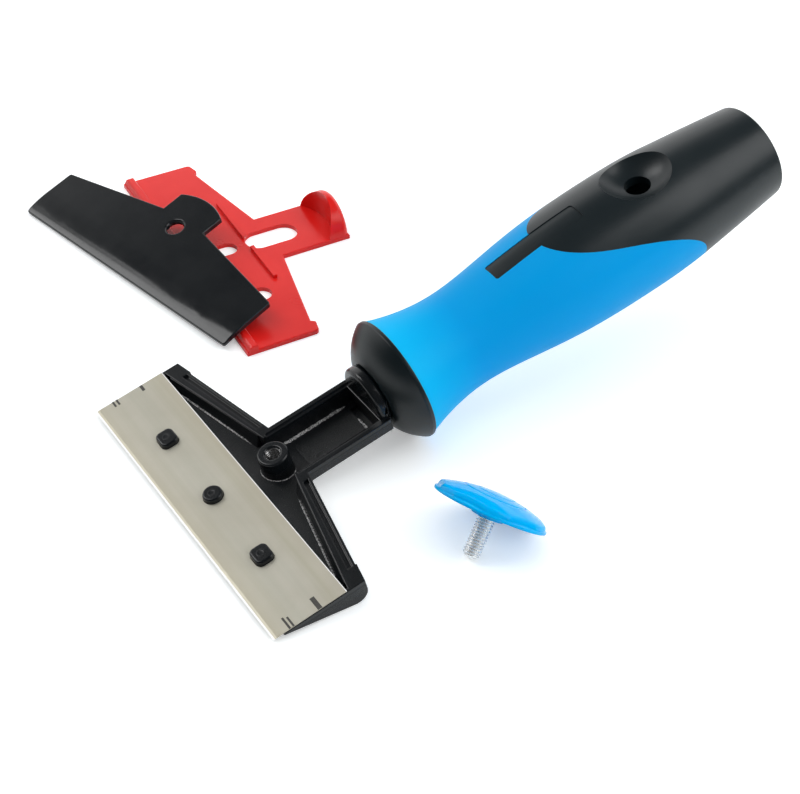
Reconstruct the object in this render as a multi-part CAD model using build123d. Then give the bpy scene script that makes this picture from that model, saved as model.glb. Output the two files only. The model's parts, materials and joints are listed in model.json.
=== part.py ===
from build123d import *
import math
import os

os.makedirs("parts", exist_ok=True)

# Ceramic hob scraper, laid out with its blade changer taken apart.
# Tool frame of the main tool: x runs from the cutting edge to the handle's rear end,
# y runs across the blade, z is the normal of the blade seat, and the origin is the
# seat's centre. Millimetres.

# Blade
blade_length = 100.0
blade_width = 21.8
blade_thickness = 0.2
bevel_width = 1.1
edge_thickness = 0.03

# Pegs that hold the blade
peg_spacing = 26.1
peg_diameter = 5.5
peg_width_outer = 5.2
peg_length_outer = 5.8
peg_corner_radius = 1.6
peg_rise = 1.5
peg_round = 0.6
peg_hole_clearance = 0.15

# Head casting
head_side_margin = 0.2
seat_overhang = 2.9
seat_front_thickness = 0.6
heel_x = 12.2
heel_depth = 6.6
arm_end_x = 16.2
arm_notch_x = 17.0
end_block_width = 5.9
end_block_step = 0.6
stem_width = 21.0
stem_root_x = 23.6
stem_end_x = 50.5
stem_side_height = 4.0
belly_depth = 8.6
belly_width = 13.0
belly_start_x = 20.6
rear_edge_radius = 3.0
tub_front_x = 5.0
tub_front_wall = 4.2
tub_end_x = 11.5
tub_end_wall = 1.0
tub_corner_x = 20.6
channel_width = 16.2
channel_step = 0.9
channel_step_depth = 0.5
tub_floor_front = 1.6
tub_floor_deep = 6.4
tub_floor_deep_x = 27.0
recess_start_x = 46.0
recess_depth = 7.7
recess_width = 12.0
groove_inset = 0.9
groove_width = 1.5
groove_depth = 0.9
groove_start_y = 12.5
collar_radius = 9.4
collar_length = 2.3
collar_round = 1.2
tang_radius = 6.0
tang_length = 40.0
tang_groove_depth = 0.7
tang_groove_width = 2.0
tang_groove_count = 4
tang_chamfer = 1.0

# Threaded boss
boss_x = 19.2
boss_diameter = 8.8
boss_rise = 2.2
boss_depth = 7.3
thread_diameter = 5.0
thread_pitch = 0.8
thread_core_diameter = 4.2
thread_chamfer = 0.4
cast_round = 0.4

# Handle
flange_x = 58.6
flange_radius = 18.25
flange_edge = 1.2
flange_edge_round = 0.45
dome_start_radius = 9.9
dome_mid_x = 54.4
dome_mid_radius = 14.6
grip_front_radius = 17.9
neck_x = 66.0
neck_radius = 16.05
waist_x = 78.5
waist_radius = 14.3
swell_x = 96.0
swell_radius = 15.68
shoulder_x = 113.0
shoulder_radius = 17.7
belly_x = 134.0
belly_radius = 18.5
hip_x = 150.0
hip_radius = 18.25
grip_end_x = 158.5
grip_end_radius = 17.5
rear_mid_x = 172.0
rear_mid_radius = 16.05
handle_end_x = 185.5
handle_end_radius = 14.45
rear_edge_round = 0.6
sleeve_wall = 2.4
handle_tilt = 0.745
socket_radius = 11.0
socket_bottom_x = 94.0
socket_mouth_chamfer = 0.8
tang_bore_clearance = 0.03
tang_bore_extra = 1.5

# Colour break between sleeve and rear part, seen from the side, as (x, z) pairs
break_top_x = 109.5
break_top_z = 17.35
break_middle_x = 126.0
break_middle_z = 11.8
break_side_x = 143.5
break_side_z = 5.5
break_low_x = 152.9
break_low_z = -1.8
break_base_x = 155.5
break_base_z = -18.0
break_top_slope = -0.42
break_base_lean = 0.05
strip_front_x = 94.5
strip_end_x = 124.8
strip_width = 6.2
strip_sink = 0.25
strip_corner = 0.8

# Dish and hole on top of the rear part
dish_x = 145.5
dish_radius = 13.6
dish_centre_z = 26.4
hang_hole_radius = 3.8

# Blade guard, in its own frame: x rearwards from the lip's front edge, z up from its underside
guard_side_margin = 0.1
guard_plate = 1.5
guard_lip_depth = 3.6
guard_lip_height = 3.0
guard_lip_chamfer = 1.3
guard_lip_front = 0.6
guard_side_depth = 22.6
guard_notch_x = 23.0
guard_ear_inset = 5.2
guard_ear_length = 1.4
guard_ear_width = 4.7
guard_ear_slant = 0.9
guard_ear_round = 0.7
guard_edge_round = 0.4
guard_tongue_width = 22.3
guard_tongue_x = 29.8
guard_length = 53.3
guard_slot_front = 21.9
guard_slot_rear = 39.6
guard_slot_clearance = 0.2
peg_slot_front = 5.2
peg_slot_rear = 18.7
peg_slot_clearance = 0.3
rib_x = 22.6
rib_width = 1.2
rib_height = 1.2
rib_left = 23.5
rib_right = 20.9
rib_gap_left = 2.5
rib_gap_right = 3.4
thumb_wall_height = 10.6
thumb_scoop_radius = 17.7
thumb_scoop_x = 50.2
thumb_round = 2.2

# Clamp plate, in its own frame: x rearwards from its front edge, z up from its flat underside
clamp_side_margin = -0.4
clamp_plate_thickness = 1.8
clamp_side_depth = 19.3
clamp_tongue_x = 27.0
clamp_tongue_width = 19.7
clamp_shoulder_x = 34.6
clamp_tongue_end_x = 37.2
clamp_hole_x = 23.4
clamp_hole_diameter = 5.5
clamp_hole_round = 0.5
clamp_bend_x = 9.5
clamp_front_drop = 0.5
clamp_front_thickness = 1.1
clamp_front_top_slope = 0.3
clamp_front_low_slope = 0.12
clamp_edge_round = 0.45
clamp_corner_round = 0.9
key_gap = 0.4
key_thickness = 2.0
key_width = 8.0
key_depth = 6.8

# Thumb screw, in its own frame: z along the stud, origin on the rim's underside
knob_radius = 15.6
knob_rim_height = 0.8
knob_step_radius = 15.3
knob_edge_height = 2.1
knob_height = 5.0
knob_scallops = 6
scallop_radius = 9.2
scallop_depth = 2.2
medal_radius = 8.6
medal_groove = 0.5
medal_groove_width = 0.8
hub_radius = 4.6
hub_drop = 1.8
knob_hollow_radius = 13.2
knob_hollow_depth = 1.2
stud_tip_drop = 13.0
stud_thread_depth = 0.42
stud_tip_chamfer = 0.6
stud_head_flats = 7.0
stud_head_height = 3.0
stud_head_base = 0.3

# Resting places of the loose pieces, measured from the blade's centre on the table
guard_place = (42.35, 99.6)
guard_turn = -5.0
clamp_place = (23.5, 104.15)
clamp_height = 1.45
clamp_turn = 11.7
clamp_tilt = 13.8
clamp_roll = -0.7
screw_tip_place = (45.7, -52.9)
screw_turn = 21.4
table_gap = 0.02
first_slope = 12.9
slope_rounds = 4

# Overrun for cuts
overrun = 1.0


def outline(points):
    """Flat face in the XY plane from a closed list of points."""
    return make_face(Polyline(*points, close=True))


def prism(points, bottom, top):
    """Upright prism over an outline between two heights."""
    return Pos(0, 0, bottom) * extrude(outline(points), top - bottom)


def mirrored(points):
    """Outline points on the +y side, followed by their mirror images."""
    return points + [(x, -y) for x, y in reversed(points)]


def side_face(points):
    """Flat face in the XZ plane from a closed list of (x, z) points."""
    return Plane.XZ * outline(points)


def side_prism(points, half_width):
    """Prism across y over a side outline."""
    return extrude(side_face(points), half_width, both=True)


def turned(points):
    """Body turned about the x axis from a closed list of (x, r) points."""
    return revolve(outline(points), Axis.X)


def from_front(length, width, height):
    """Box that runs rearwards and up from the middle of its lower front edge."""
    return Box(length, width, height, align=(Align.MIN, Align.CENTER, Align.MIN))


def slot_cut(front, rear, width, height):
    """Round-ended slot along x, from its front end to its rear end."""
    centre = (front + rear) / 2
    face = SlotOverall(rear - front, width)
    return Pos(centre, 0, -overrun) * extrude(face, height + 2 * overrun)


head_width = blade_length + 2 * head_side_margin
guard_width = blade_length + 2 * guard_side_margin
clamp_width = blade_length + 2 * clamp_side_margin
head_half = head_width / 2
stem_half = stem_width / 2
channel_half = channel_width / 2
seat_front_x = seat_overhang - blade_width / 2
arm_notch_y = head_half - end_block_width
guard_ear_y = guard_width / 2 - guard_ear_inset


def arm_outer_x(y):
    """Rear edge of the arm at the distance y from the middle."""
    share = (y - stem_half) / (arm_notch_y - stem_half)
    return stem_root_x + (arm_notch_x - stem_root_x) * share


def tub_floor_z(x):
    """Height of the tub's floor."""
    slope = (tub_floor_deep - tub_floor_front) / (tub_floor_deep_x - tub_front_x)
    return -(tub_floor_front + slope * (x - tub_front_x))


def head_wedge():
    """Wedge-shaped frame with its two arms, before the tub is cut."""
    peak_x = arm_outer_x(0) + end_block_step
    plan = prism(
        [
            (seat_front_x, head_half),
            (arm_end_x, head_half),
            (peak_x, 0),
            (arm_end_x, -head_half),
            (seat_front_x, -head_half),
        ],
        -belly_depth,
        0,
    )
    wedge = [
        (seat_front_x, 0),
        (seat_front_x, -seat_front_thickness),
        (heel_x, -heel_depth),
        (peak_x, -heel_depth),
        (peak_x, 0),
    ]
    body = plan & side_prism(wedge, head_width)
    lower_rear = [
        edge
        for edge in body.edges().filter_by_position(Axis.Z, -heel_depth, -heel_depth)
        if edge.center().X > arm_end_x and abs(edge.center().Y) > overrun
    ]
    body = fillet(lower_rear, rear_edge_radius)
    for side in (-1, 1):
        body -= prism(
            [
                (arm_outer_x(stem_half), side * stem_half),
                (arm_notch_x, side * arm_notch_y),
                (arm_notch_x + belly_depth, side * arm_notch_y),
                (arm_outer_x(stem_half) + belly_depth, side * stem_half),
            ],
            -belly_depth,
            overrun,
        )
    return body


def stem():
    """Stem between the arms and the collar, with a tapered belly."""
    section = [
        (-stem_half, 0),
        (-stem_half, -stem_side_height),
        (-belly_width / 2, -belly_depth),
        (belly_width / 2, -belly_depth),
        (stem_half, -stem_side_height),
        (stem_half, 0),
    ]
    length = stem_end_x - belly_start_x
    body = extrude(Plane.YZ * outline(section), length)
    return Pos(belly_start_x, 0, 0) * body


def tub_cut():
    """Open tub behind the blade seat, running back into the stem's channel."""
    end_y = head_half - tub_end_wall
    half_outline = [
        (tub_front_x, head_half - tub_front_wall),
        (tub_end_x, end_y),
        (tub_corner_x, channel_half),
        (recess_start_x, channel_half),
    ]
    plan = prism(mirrored(half_outline), -belly_depth, overrun)
    floor = [
        (tub_front_x, overrun),
        (tub_front_x, tub_floor_z(tub_front_x)),
        (tub_floor_deep_x, tub_floor_z(tub_floor_deep_x)),
        (recess_start_x, -tub_floor_deep),
        (recess_start_x, overrun),
    ]
    recess_length = stem_end_x - collar_length - recess_start_x
    recess = from_front(recess_length, recess_width, recess_depth + overrun)
    shelf = from_front(recess_length, channel_width, tub_floor_deep + overrun)
    ledge_length = stem_end_x - collar_length - tub_corner_x
    ledge = from_front(ledge_length, channel_width + 2 * channel_step, channel_step_depth + overrun)
    cut = plan & side_prism(floor, head_width)
    cut += Pos(recess_start_x, 0, -recess_depth) * recess
    cut += Pos(recess_start_x, 0, -tub_floor_deep) * shelf
    cut += Pos(tub_corner_x + channel_step, 0, -channel_step_depth) * ledge
    return cut


def arm_groove(side):
    """Shallow groove along the top of one arm, ending at the end block."""
    def at(y, inset):
        return (arm_outer_x(y) - inset, side * y)

    inner = groove_inset + groove_width
    points = [
        at(groove_start_y, groove_inset),
        at(arm_notch_y, groove_inset),
        at(arm_notch_y, inner),
        at(groove_start_y, inner),
    ]
    return prism(points, -groove_depth, overrun)


def peg(position):
    """One blade peg: the middle one is round, the outer ones are longer across."""
    height = blade_thickness + peg_rise
    if position == 0:
        body = extrude(Circle(peg_diameter / 2), height)
    else:
        body = extrude(RectangleRounded(peg_width_outer, peg_length_outer, peg_corner_radius), height)
    body = fillet(body.edges().group_by(Axis.Z)[-1], peg_round)
    return Pos(0, position * peg_spacing, 0) * body


def tang():
    """Collar and grooved tang, turned about the handle's axis."""
    collar_start = stem_end_x - collar_length
    collar_end = stem_end_x + collar_round
    collar = extrude(Circle(collar_radius), collar_end - collar_start)
    body = Pos(collar_start, 0, 0) * (Rot(0, 90, 0) * collar)
    body = fillet(body.edges().filter_by(GeomType.CIRCLE), collar_round)
    end_x = stem_end_x + tang_length
    points = [(collar_start, 0), (collar_start, tang_radius)]
    pitch = tang_length / (tang_groove_count + 1)
    for index in range(tang_groove_count):
        centre = stem_end_x + pitch * (index + 1)
        low = tang_radius - tang_groove_depth
        half = tang_groove_width / 2
        points += [(centre - half, tang_radius), (centre - half, low)]
        points += [(centre + half, low), (centre + half, tang_radius)]
    points += [(end_x - tang_chamfer, tang_radius), (end_x, tang_radius - tang_chamfer), (end_x, 0)]
    return Rot(0, -handle_tilt, 0) * (body + turned(points))


def make_head():
    """Head casting: frame, tub, boss, pegs, stem, collar and tang."""
    body = head_wedge() + stem()
    body -= tub_cut()
    for side in (-1, 1):
        body -= arm_groove(side)
    boss_height = boss_rise + boss_depth
    boss = Pos(boss_x, 0, -boss_depth) * extrude(Circle(boss_diameter / 2), boss_height)
    boss = chamfer(boss.edges().group_by(Axis.Z)[-1], cast_round)
    body += boss
    body += tang()
    for position in (-1, 0, 1):
        body += peg(position)
    hole = Pos(boss_x, 0, -boss_depth - overrun) * extrude(
        Circle(thread_core_diameter / 2), boss_height + 2 * overrun
    )
    mouth_radius = thread_core_diameter / 2 + thread_chamfer
    mouth = Pos(boss_x, 0, boss_rise - thread_chamfer) * Cone(
        thread_core_diameter / 2,
        mouth_radius,
        thread_chamfer,
        align=(Align.CENTER, Align.CENTER, Align.MIN),
    )
    return body - hole - mouth


def make_blade():
    """Flat blade with its ground edge and three peg holes."""
    half = blade_width / 2
    section = [
        (-half, 0),
        (-half, edge_thickness),
        (bevel_width - half, blade_thickness),
        (half, blade_thickness),
        (half, 0),
    ]
    body = side_prism(section, blade_length / 2)
    for position in (-1, 0, 1):
        if position == 0:
            hole = Circle(peg_diameter / 2 + peg_hole_clearance)
        else:
            hole = RectangleRounded(
                peg_width_outer + 2 * peg_hole_clearance,
                peg_length_outer + 2 * peg_hole_clearance,
                peg_corner_radius + peg_hole_clearance,
            )
        body -= Pos(0, position * peg_spacing, -overrun) * extrude(hole, blade_thickness + 2 * overrun)
    return body


def grip_edge(inset):
    """Outer line of the grip from flange to rear part, drawn in by the inset."""
    stations = [
        (flange_x + flange_edge, grip_front_radius),
        (neck_x, neck_radius),
        (waist_x, waist_radius),
        (swell_x, swell_radius),
        (shoulder_x, shoulder_radius),
        (belly_x, belly_radius),
        (hip_x, hip_radius),
        (grip_end_x, grip_end_radius),
    ]
    return Spline(*[(x, radius - inset) for x, radius in stations])


def grip_solid(inset):
    """Body turned under the grip's outer line."""
    edge = grip_edge(inset)
    start = edge @ 0
    end = edge @ 1
    sides = Polyline((end.X, end.Y), (end.X, 0), (start.X, 0), (start.X, start.Y))
    return revolve(make_face(edge + sides), Axis.X)


def front_dome():
    """Domed flange in front of the grip."""
    start = (stem_end_x + collar_round, dome_start_radius)
    arc = ThreePointArc(start, (dome_mid_x, dome_mid_radius), (flange_x, flange_radius))
    rear_x = flange_x + flange_edge
    sides = Polyline((flange_x, flange_radius), (rear_x, flange_radius), (rear_x, 0), (start[0], 0), start)
    body = revolve(make_face(arc + sides), Axis.X)
    rim = body.edges().filter_by(GeomType.CIRCLE).sort_by(SortBy.RADIUS)[-2:]
    return fillet(rim, flange_edge_round)


def rear_solid():
    """Tapered rear part behind the grip."""
    arc = ThreePointArc(
        (grip_end_x, grip_end_radius),
        (rear_mid_x, rear_mid_radius),
        (handle_end_x, handle_end_radius),
    )
    sides = Polyline(
        (handle_end_x, handle_end_radius),
        (handle_end_x, 0),
        (grip_end_x, 0),
        (grip_end_x, grip_end_radius),
    )
    body = revolve(make_face(arc + sides), Axis.X)
    rim = body.edges().filter_by(GeomType.CIRCLE).group_by(Axis.X)[-1]
    return fillet(rim, rear_edge_round)


def break_region():
    """Region above and behind the colour break, where the rear part shows."""
    top_z = 2 * belly_radius
    curve = Spline(
        (break_top_x, break_top_z),
        (break_middle_x, break_middle_z),
        (break_side_x, break_side_z),
        (break_low_x, break_low_z),
        (break_base_x, break_base_z),
        tangents=[(1, break_top_slope), (break_base_lean, -1)],
    )
    far_x = grip_end_x + overrun
    sides = Polyline(
        (break_base_x, break_base_z),
        (break_base_x, -top_z),
        (far_x, -top_z),
        (far_x, top_z),
        (break_top_x, top_z),
        (break_top_x, break_top_z),
    )
    return extrude(Plane.XZ * make_face(curve + sides), 2 * belly_radius, both=True)


def bare_strip():
    """Bare black strip that runs forward from the rear part into the sleeve."""
    length = strip_end_x - strip_front_x
    strip = RectangleRounded(length, strip_width, strip_corner)
    return Pos(strip_front_x + length / 2, 0, 0) * extrude(strip, 2 * belly_radius)


def make_handle():
    """Black core and blue sleeve of the handle."""
    ring = grip_solid(0) - grip_solid(sleeve_wall)
    rear_skin = (ring & break_region()) - bare_strip()
    strip = (ring & bare_strip()) & grip_solid(strip_sink)
    sleeve = ring - break_region() - bare_strip()
    core = grip_solid(sleeve_wall) + front_dome() + rear_solid() + rear_skin + strip
    bore_start = stem_end_x - overrun
    tang_bore_end = stem_end_x + tang_length + tang_bore_extra
    tang_bore_radius = tang_radius + tang_bore_clearance
    core -= turned(
        [
            (bore_start, 0),
            (bore_start, tang_bore_radius),
            (tang_bore_end, tang_bore_radius),
            (tang_bore_end, 0),
        ]
    )
    mouth_x = handle_end_x - socket_mouth_chamfer
    core -= turned(
        [
            (socket_bottom_x, 0),
            (socket_bottom_x, socket_radius),
            (mouth_x, socket_radius),
            (handle_end_x, socket_radius + socket_mouth_chamfer),
            (handle_end_x + overrun, socket_radius + socket_mouth_chamfer),
            (handle_end_x + overrun, 0),
        ]
    )
    core -= Pos(dish_x, 0, dish_centre_z) * Sphere(dish_radius)
    core -= Pos(dish_x, 0, 0) * extrude(Circle(hang_hole_radius), dish_centre_z)
    sleeve -= Pos(dish_x, 0, dish_centre_z) * Sphere(dish_radius)
    tilt = Rot(0, -handle_tilt, 0)
    return tilt * core, tilt * sleeve


def make_guard():
    """Sliding blade guard in its own frame."""
    half = guard_width / 2
    tongue_half = guard_tongue_width / 2
    ear_end_y = guard_ear_y + guard_ear_width
    half_outline = [
        (0, half),
        (guard_side_depth, half),
        (guard_notch_x + guard_ear_length - guard_ear_slant, ear_end_y),
        (guard_notch_x + guard_ear_length, guard_ear_y + guard_ear_slant),
        (guard_notch_x, guard_ear_y),
        (guard_tongue_x, tongue_half),
        (guard_length, tongue_half),
    ]
    body = prism(mirrored(half_outline), 0, guard_plate)
    ears = [
        edge
        for edge in body.edges().filter_by(Axis.Z)
        if guard_notch_x < edge.center().X < guard_tongue_x - overrun and abs(edge.center().Y) > guard_ear_y
    ]
    body = fillet(ears, guard_ear_round)
    body = fillet(body.edges().group_by(Axis.Z)[-1], guard_edge_round)
    lip_section = [
        (0, 0),
        (0, guard_lip_front),
        (guard_lip_chamfer, guard_lip_height),
        (guard_lip_depth, guard_lip_height),
        (guard_lip_depth, 0),
    ]
    lip = side_prism(lip_section, half)
    body += chamfer(lip.edges().group_by(Axis.Z)[-1], guard_edge_round)
    for side, near, far in ((1, rib_gap_left, rib_left), (-1, rib_gap_right, rib_right)):
        rib = Box(
            rib_width,
            far - near,
            rib_height + guard_plate / 2,
            align=(Align.CENTER, Align.CENTER, Align.MIN),
        )
        body += Pos(rib_x, side * (near + far) / 2, guard_plate / 2) * rib
    wall_start = thumb_scoop_x - (thumb_scoop_radius - math.sqrt(thumb_scoop_radius**2 - tongue_half**2))
    arch = Ellipse(tongue_half, thumb_wall_height)
    arch = arch & (Pos(0, thumb_wall_height / 2) * Rectangle(guard_tongue_width, thumb_wall_height))
    wall_length = guard_length - wall_start
    wall = Pos(guard_length, 0, 0) * extrude(Plane.YZ * arch, -wall_length)
    wall = fillet(wall.edges().group_by(Axis.X)[-1].sort_by(Axis.Z)[-1], thumb_round)
    scoop_centre = thumb_scoop_x - thumb_scoop_radius
    scoop = Pos(scoop_centre, 0, guard_plate) * extrude(
        Circle(thumb_scoop_radius), thumb_wall_height + overrun
    )
    body += wall - scoop
    body -= slot_cut(
        guard_slot_front,
        guard_slot_rear,
        boss_diameter + 2 * guard_slot_clearance,
        guard_lip_height,
    )
    for position in (-1, 0, 1):
        extra = 0 if position == 0 else peg_length_outer - peg_diameter
        width = peg_diameter + extra + 2 * peg_slot_clearance
        body -= Pos(0, position * peg_spacing, 0) * slot_cut(
            peg_slot_front, peg_slot_rear, width, guard_plate
        )
    return body


def make_clamp():
    """Clamp plate in its own frame, its front part bent down."""
    half = clamp_width / 2
    tongue_half = clamp_tongue_width / 2
    right = [
        (0, half),
        (clamp_side_depth, half),
        (clamp_tongue_x, tongue_half),
        (clamp_shoulder_x, tongue_half),
    ]
    left = [(x, -y) for x, y in reversed(right)]
    end_arc = ThreePointArc(right[-1], (clamp_tongue_end_x, 0), left[0])
    plan_face = make_face(Polyline(*right) + end_arc + Polyline(*left, right[0]))
    plan = Pos(0, 0, -clamp_plate_thickness) * extrude(plan_face, 3 * clamp_plate_thickness)
    corners = [
        edge
        for edge in plan.edges().filter_by(Axis.Z)
        if edge.center().X < clamp_side_depth + overrun and abs(edge.center().Y) > half - overrun
    ]
    plan = fillet(corners, clamp_corner_round)
    front_top = clamp_front_thickness - clamp_front_drop
    bend = (clamp_bend_x, clamp_plate_thickness)
    top_curve = Spline((0, front_top), bend, tangents=[(1, clamp_front_top_slope), (1, 0)])
    low_curve = Spline(
        (0, -clamp_front_drop),
        (clamp_bend_x, 0),
        tangents=[(1, clamp_front_low_slope), (1, 0)],
    )
    back_x = clamp_tongue_end_x + overrun
    rest = Polyline(bend, (back_x, clamp_plate_thickness), (back_x, 0), (clamp_bend_x, 0))
    front = Line((0, front_top), (0, -clamp_front_drop))
    section = make_face(top_curve + rest + low_curve + front)
    body = plan & extrude(Plane.XZ * section, clamp_width, both=True)
    body = fillet(body.edges().group_by(Axis.Z)[-1], clamp_edge_round)
    key_x = clamp_hole_x + boss_diameter / 2 + key_gap
    key = from_front(key_thickness, key_width, key_depth + clamp_front_drop)
    body += Pos(key_x, 0, -key_depth) * key
    hole = Pos(clamp_hole_x, 0, -clamp_front_drop) * extrude(
        Circle(clamp_hole_diameter / 2), 2 * clamp_plate_thickness
    )
    body -= hole
    mouth = Pos(clamp_hole_x, 0, clamp_plate_thickness - clamp_hole_round) * Cone(
        clamp_hole_diameter / 2,
        clamp_hole_diameter / 2 + clamp_hole_round,
        clamp_hole_round,
        align=(Align.CENTER, Align.CENTER, Align.MIN),
    )
    return body - mouth


def make_screw():
    """Knob and stud of the thumb screw in their own frame."""
    cap = knob_height - knob_edge_height
    cap_radius = (knob_step_radius**2 + cap**2) / (2 * cap)
    middle = knob_step_radius / 2
    middle_height = knob_height - cap_radius + math.sqrt(cap_radius**2 - middle**2)
    dome = ThreePointArc(
        (knob_step_radius, knob_edge_height),
        (middle, middle_height),
        (0, knob_height),
    )
    sides = Polyline(
        (0, knob_height),
        (0, -hub_drop),
        (hub_radius, -hub_drop),
        (hub_radius, knob_hollow_depth),
        (knob_hollow_radius, knob_hollow_depth),
        (knob_hollow_radius, 0),
        (knob_radius, 0),
        (knob_radius, knob_rim_height),
        (knob_step_radius, knob_rim_height),
        (knob_step_radius, knob_edge_height),
    )
    knob = revolve(Plane.XZ * make_face(dome + sides), Axis.Z)
    cutter = Cylinder(scallop_radius, knob_height, align=(Align.CENTER, Align.CENTER, Align.MIN))
    cutter_place = knob_step_radius + scallop_radius - scallop_depth
    for index in range(knob_scallops):
        turn = Rot(0, 0, index * 360 / knob_scallops)
        knob -= turn * (Pos(cutter_place, 0, knob_rim_height) * cutter)
    ring = Circle(medal_radius) - Circle(medal_radius - medal_groove_width)
    groove_floor = knob_height - cap_radius + math.sqrt(cap_radius**2 - medal_radius**2) - medal_groove
    knob -= Pos(0, 0, groove_floor) * extrude(ring, knob_height)
    head = extrude(RegularPolygon(stud_head_flats / 2, 6, major_radius=False), stud_head_height)
    head = Pos(0, 0, stud_head_base) * head
    crest = thread_diameter / 2
    root = crest - stud_thread_depth
    tip_z = -stud_tip_drop
    points = [(0, tip_z), (root - stud_tip_chamfer, tip_z), (root, tip_z + stud_tip_chamfer)]
    turns = int((stud_tip_drop - hub_drop - stud_tip_chamfer) / thread_pitch)
    for index in range(turns):
        base = tip_z + stud_tip_chamfer + index * thread_pitch
        points += [(crest, base + thread_pitch / 2), (root, base + thread_pitch)]
    points += [(root, stud_head_base), (0, stud_head_base)]
    stud = revolve(Plane.XZ * outline(points), Axis.Z)
    hole = Pos(0, 0, -hub_drop - overrun) * extrude(
        Circle(crest), hub_drop + overrun + stud_head_base
    )
    knob = knob - head - hole
    sleeve_fill = Pos(0, 0, -hub_drop) * extrude(Circle(crest), hub_drop + stud_head_base)
    return knob, stud + sleeve_fill + head


def placed(body, x, y, z, angles):
    """Body turned by its angles and put at a place."""
    return Pos(x, y, z) * (Rot(*angles) * body)


head = make_head()
blade = make_blade()
core, sleeve = make_handle()
guard = make_guard()
clamp = make_clamp()
knob, stud = make_screw()

# The tool rests on the heel of its head and on the rim of its flange.
tool_slope = first_slope
for _ in range(slope_rounds):
    slope = Rot(0, -tool_slope, 0)
    head_low = (slope * head).bounding_box().min.Z
    core_low = (slope * core).bounding_box().min.Z
    tool_slope += math.degrees((head_low - core_low) / (flange_x - heel_x))
slope = Rot(0, -tool_slope, 0)
lowest = min((slope * body).bounding_box().min.Z for body in (head, core))
tool = {
    "head_casting": head,
    "scraper_blade": blade,
    "handle_core": core,
    "grip_sleeve": sleeve,
}
laid = {name: Pos(0, 0, -lowest) * (slope * body) for name, body in tool.items()}

# The guard lies flat, the clamp plate leans on it, and the screw lies on its tip and rim.
laid["blade_guard"] = placed(guard, guard_place[0], guard_place[1], table_gap, (0, 0, guard_turn))
clamp_lean = Rot(0, 0, clamp_turn) * (Rot(0, -clamp_tilt, 0) * Rot(clamp_roll, 0, 0))
clamp_centre = Pos(clamp_place[0], clamp_place[1], clamp_height) * clamp_lean
laid["clamp_plate"] = clamp_centre * clamp
tip_radius = thread_diameter / 2 - stud_thread_depth - stud_tip_chamfer
screw_lean = math.degrees(math.atan2(stud_tip_drop, knob_radius - tip_radius))
screw_turned = Rot(0, 0, screw_turn) * (Rot(0, screw_lean, 0) * Pos(0, 0, stud_tip_drop))
for name, body in (("screw_knob", knob), ("screw_stud", stud)):
    laid[name] = Pos(screw_tip_place[0], screw_tip_place[1], 0) * (screw_turned * body)
screw_low = min(laid[name].bounding_box().min.Z for name in ("screw_knob", "screw_stud"))
for name in ("screw_knob", "screw_stud"):
    laid[name] = Pos(0, 0, table_gap - screw_low) * laid[name]

# The frame's origin is the middle of the laid-out set on the table.
box = Compound(list(laid.values())).bounding_box()
shift = Pos(-(box.min.X + box.max.X) / 2, -(box.min.Y + box.max.Y) / 2, -box.min.Z)
for name, body in laid.items():
    solid = body.solid()
    print(name, "valid" if solid.is_valid else "not valid", "volume", round(solid.volume, 1))
    export_step(shift * solid, f"parts/{name}.step")
print("tool slope", round(tool_slope, 5), "lift", round(-lowest, 5))
print("shift", shift.position)
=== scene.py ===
import bmesh
import bpy
import json
import math
import random
from mathutils import Euler, Matrix, Vector, noise

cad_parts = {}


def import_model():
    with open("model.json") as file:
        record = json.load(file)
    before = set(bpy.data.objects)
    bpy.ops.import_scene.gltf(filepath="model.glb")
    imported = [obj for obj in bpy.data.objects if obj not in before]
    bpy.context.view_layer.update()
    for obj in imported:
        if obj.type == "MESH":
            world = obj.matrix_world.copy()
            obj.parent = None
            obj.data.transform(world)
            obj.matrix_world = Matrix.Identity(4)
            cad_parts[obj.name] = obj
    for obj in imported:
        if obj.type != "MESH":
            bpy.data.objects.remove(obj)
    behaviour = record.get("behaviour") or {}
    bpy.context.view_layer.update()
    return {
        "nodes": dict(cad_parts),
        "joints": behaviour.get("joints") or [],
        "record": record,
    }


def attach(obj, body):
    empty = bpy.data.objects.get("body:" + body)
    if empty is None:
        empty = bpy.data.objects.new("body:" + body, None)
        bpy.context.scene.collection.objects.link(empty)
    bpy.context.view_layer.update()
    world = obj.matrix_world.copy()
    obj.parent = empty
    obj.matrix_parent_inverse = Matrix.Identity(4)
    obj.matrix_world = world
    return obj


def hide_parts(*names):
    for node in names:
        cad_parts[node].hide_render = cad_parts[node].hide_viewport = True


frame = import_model()

MM = 0.001

# Camera, found from the photograph: place in millimetres, angles in degrees
CAMERA_PLACE = (-219.992, -340.607, 316.958)
CAMERA_TURN = -33.135
CAMERA_DOWN = 41.027
CAMERA_LENS = 76.05
SENSOR_WIDTH = 36.0
CLIP_START = 0.01

# Light, with directions in degrees and sizes in metres
BACKDROP_TURN = 60.0
BACKDROP_LEVEL = 1.15
ROOM_LEVEL = 0.06
BACKDROP_TOP = 47.0
BACKDROP_FADE = 36.0
BACKDROP_DIM = -0.25
BACKDROP_FULL = 0.75
WORLD_TINT = (1.0, 1.0, 1.0, 1)
KEY_DIRECTION = (129.0, 45.0)
KEY_SIZE = (0.42, 0.7)
KEY_RADIANCE = 4.2
SIDE_DIRECTION = (-44.0, 40.0)
SIDE_SIZE = (0.7, 0.85)
SIDE_RADIANCE = 2.4
FILL_DIRECTION = (-75.0, 25.0)
FILL_SIZE = (1.2, 0.8)
FILL_RADIANCE = 2.0
SOFTBOX_DISTANCE = 1.2
OVERHEAD_PLACE = (0.0, 0.0, 1.0)
OVERHEAD_SIZE = (1.7, 0.95)
OVERHEAD_POWER = 6.0
FLOOR_COLOUR = (0.92, 0.955, 0.965, 1)
FLOOR_LIFT = 0.3
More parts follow.
